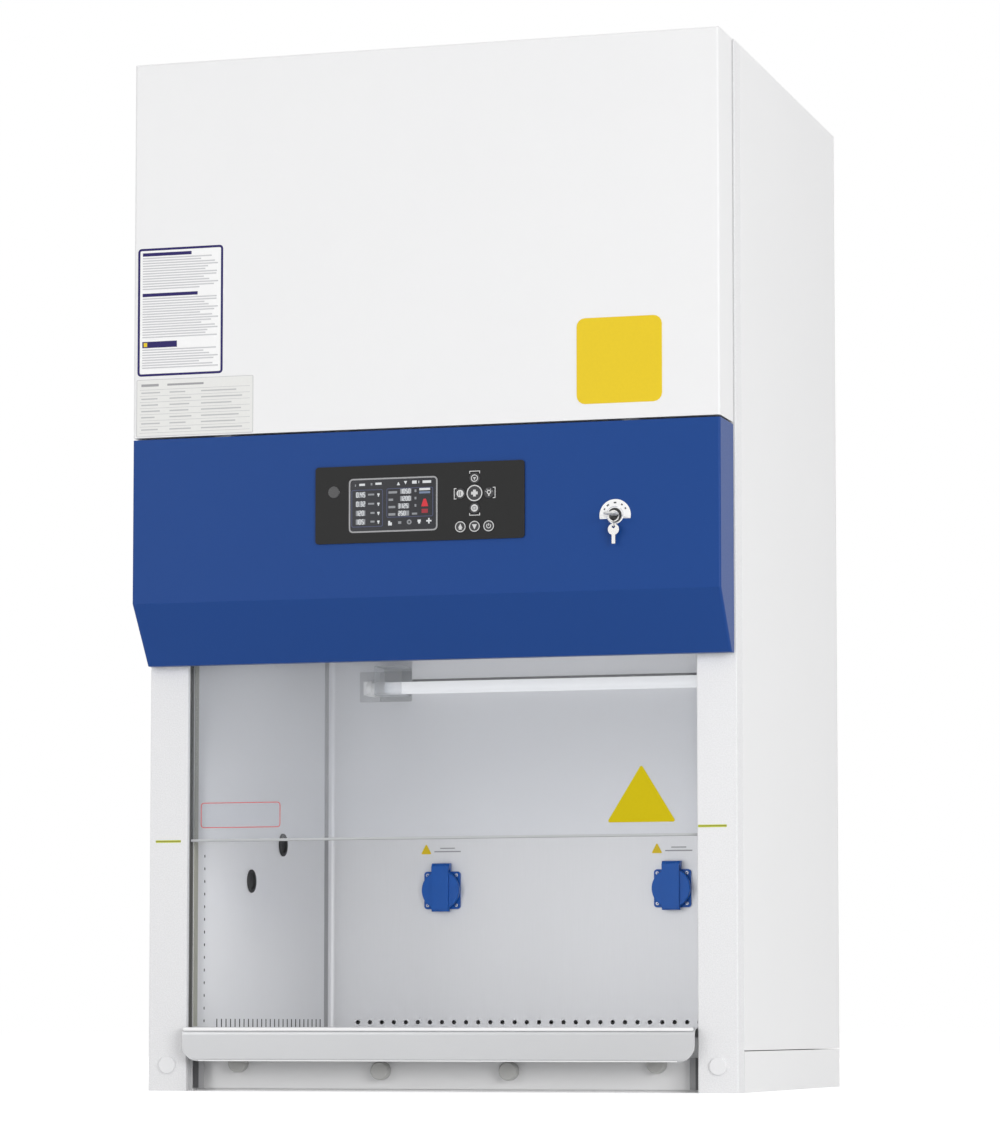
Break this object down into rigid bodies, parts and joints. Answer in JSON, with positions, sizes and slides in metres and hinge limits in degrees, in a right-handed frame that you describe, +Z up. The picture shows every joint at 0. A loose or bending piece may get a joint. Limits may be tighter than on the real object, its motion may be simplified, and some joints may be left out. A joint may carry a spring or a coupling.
{
  "type": "biosafety cabinet",
  "caption": "Bench biosafety cabinet: white steel body, blue control cover with screen and keys, motor driven sliding sash over a stainless chamber with slotted walls, lamp and lidded sockets.",
  "frame": {"origin": "centre of the footprint, on the standing surface", "axes": "+X to the operator's right, +Y to the rear, +Z up"},
  "size_m": [0.724, 0.6715, 1.23],
  "materials": {
    "belt": "flat belt",
    "black_plastic": "satin",
    "blue_paint": "powder coat, satin",
    "blue_plastic": "satin",
    "board_green": "lacquered board",
    "brass_key": "nickel plated",
    "chrome": "polished",
    "dark_lens": "satin dark lens",
    "filter_pack": "pleated paper in a frame",
    "galvanised": "galvanised sheet",
    "glass": "clear tempered",
    "grey_paint": "powder coat, satin",
    "grey_plastic": "satin",
    "lamp_diffuser": "opal",
    "lamp_tube": "clear quartz glass",
    "motor_black": "cast, painted",
    "overlay_film": "satin film",
    "rubber": "matt",
    "screen": "glossy window",
    "stainless": "brushed",
    "stainless_arm": "fine brushed, satin",
    "textured_paint": "coarse orange peel powder coat",
    "white_paint": "fine powder coat, satin",
    "white_plastic": "satin",
    "zinc": "bright zinc plate"
  },
  "bodies": {
    "cabinet": {"base_frame": "white_paint", "left_pillar": "textured_paint", "right_pillar": "textured_paint", "left_side_panel": "white_paint", "right_side_panel": "white_paint", "rear_panel": "white_paint", "top_panel": "white_paint", "exhaust_grille": "galvanised", "front_lintel": "galvanised", "front_lower_panel": "grey_paint", "panel_caps": "grey_plastic", "arm_rest": "stainless_arm", "work_surface": "stainless", "inner_left_wall": "stainless", "inner_right_wall": "stainless", "inner_back_wall": "stainless", "wall_plugs": "rubber", "diffuser": "stainless", "supply_filter": "filter_pack", "exhaust_filter": "filter_pack", "plenum_box": "galvanised", "blower_housing": "galvanised", "blower_motor": "motor_black", "upper_cover": "white_paint", "cover_hinges": "zinc", "sash_guides": "rubber", "lift_belts": "belt", "pulley_brackets": "zinc", "lift_motor": "motor_black", "socket_bodies": "blue_plastic", "socket_inserts": "black_plastic", "uv_lamp_tube": "lamp_tube", "uv_lamp_holders": "white_plastic", "work_lamp": "lamp_diffuser", "power_inlet": "black_plastic"},
    "impeller": {"impeller": "galvanised"},
    "sash": {"sash_glass": "glass", "sash_edge": "white_plastic", "sash_carriers": "zinc"},
    "drive_shaft": {"drive_shaft": "stainless", "drive_pulleys": "zinc"},
    "idlers": {"idler_pulleys": "zinc"},
    "left_socket_lid": {"left_socket_lid": "blue_plastic"},
    "right_socket_lid": {"right_socket_lid": "blue_plastic"},
    "control_cover": {"control_cover": "blue_paint", "control_overlay": "overlay_film", "display_window": "screen", "receiver_lens": "dark_lens", "control_board": "board_green", "lock_barrel": "chrome"},
    "lock_key": {"lock_key": "brass_key"},
    "spare_key": {"spare_key": "brass_key"},
    "key_set": {"key_set": "black_plastic"},
    "key_up": {"key_up": "black_plastic"},
    "key_down": {"key_down": "black_plastic"},
    "key_left": {"key_left": "black_plastic"},
    "key_right": {"key_right": "black_plastic"},
    "key_fan": {"key_fan": "black_plastic"},
    "key_light": {"key_light": "black_plastic"},
    "key_power": {"key_power": "black_plastic"}
  },
  "joints": [
    {"name": "sash_slide", "type": "slide", "parent": "cabinet", "child": "sash", "axis": [0, 0, 1], "range_m": [-0.2212, 0.1785]},
    {"name": "drive_spin", "type": "hinge", "parent": "cabinet", "child": "drive_shaft", "pos_m": [0, -0.268, 1.075], "axis": [1, 0, 0], "range_deg": [-680, 540]},
    {"name": "idler_spin", "type": "hinge", "parent": "cabinet", "child": "idlers", "pos_m": [0, -0.268, 0.556], "axis": [1, 0, 0], "range_deg": [-680, 540]},
    {"name": "impeller_spin", "type": "hinge", "parent": "cabinet", "child": "impeller", "pos_m": [-0.02, 0.2, 0.85], "axis": [0, 1, 0], "continuous": true},
    {"name": "cover_lift", "type": "hinge", "parent": "cabinet", "child": "control_cover", "pos_m": [0, -0.316, 0.772], "axis": [-1, 0, 0], "range_deg": [0, 80]},
    {"name": "key_turn", "type": "hinge", "parent": "control_cover", "child": "lock_key", "pos_m": [0.2354, -0.323, 0.6646], "axis": [0, 1, 0], "range_deg": [0, 90]},
    {"name": "spare_key_swing", "type": "hinge", "parent": "control_cover", "child": "spare_key", "pos_m": [0.2354, -0.3275, 0.6646], "axis": [0, 1, 0], "range_deg": [-40, 40]},
    {"name": "left_lid_hinge", "type": "hinge", "parent": "cabinet", "child": "left_socket_lid", "pos_m": [-0.158, 0.2785, 0.285], "axis": [-1, 0, 0], "range_deg": [0, 110], "stiffness_Nm_per_rad": 0.02, "springref_deg": -34.38},
    {"name": "right_lid_hinge", "type": "hinge", "parent": "cabinet", "child": "right_socket_lid", "pos_m": [0.152, 0.2785, 0.285], "axis": [-1, 0, 0], "range_deg": [0, 110], "stiffness_Nm_per_rad": 0.02, "springref_deg": -34.38},
    {"name": "key_set_press", "type": "slide", "parent": "control_cover", "child": "key_set", "axis": [0, 1, 0], "range_m": [0, 0.0005], "stiffness_N_per_m": 600},
    {"name": "key_up_press", "type": "slide", "parent": "control_cover", "child": "key_up", "axis": [0, 1, 0], "range_m": [0, 0.0005], "stiffness_N_per_m": 600},
    {"name": "key_down_press", "type": "slide", "parent": "control_cover", "child": "key_down", "axis": [0, 1, 0], "range_m": [0, 0.0005], "stiffness_N_per_m": 600},
    {"name": "key_left_press", "type": "slide", "parent": "control_cover", "child": "key_left", "axis": [0, 1, 0], "range_m": [0, 0.0005], "stiffness_N_per_m": 600},
    {"name": "key_right_press", "type": "slide", "parent": "control_cover", "child": "key_right", "axis": [0, 1, 0], "range_m": [0, 0.0005], "stiffness_N_per_m": 600},
    {"name": "key_fan_press", "type": "slide", "parent": "control_cover", "child": "key_fan", "axis": [0, 1, 0], "range_m": [0, 0.0005], "stiffness_N_per_m": 600},
    {"name": "key_light_press", "type": "slide", "parent": "control_cover", "child": "key_light", "axis": [0, 1, 0], "range_m": [0, 0.0005], "stiffness_N_per_m": 600},
    {"name": "key_power_press", "type": "slide", "parent": "control_cover", "child": "key_power", "axis": [0, 1, 0], "range_m": [0, 0.0005], "stiffness_N_per_m": 600}
  ],
  "couplings": [
    {"joint": "drive_spin", "follows": "sash_slide", "rad_per_m": 52.493},
    {"joint": "idler_spin", "follows": "sash_slide", "rad_per_m": 52.493}
  ]
}
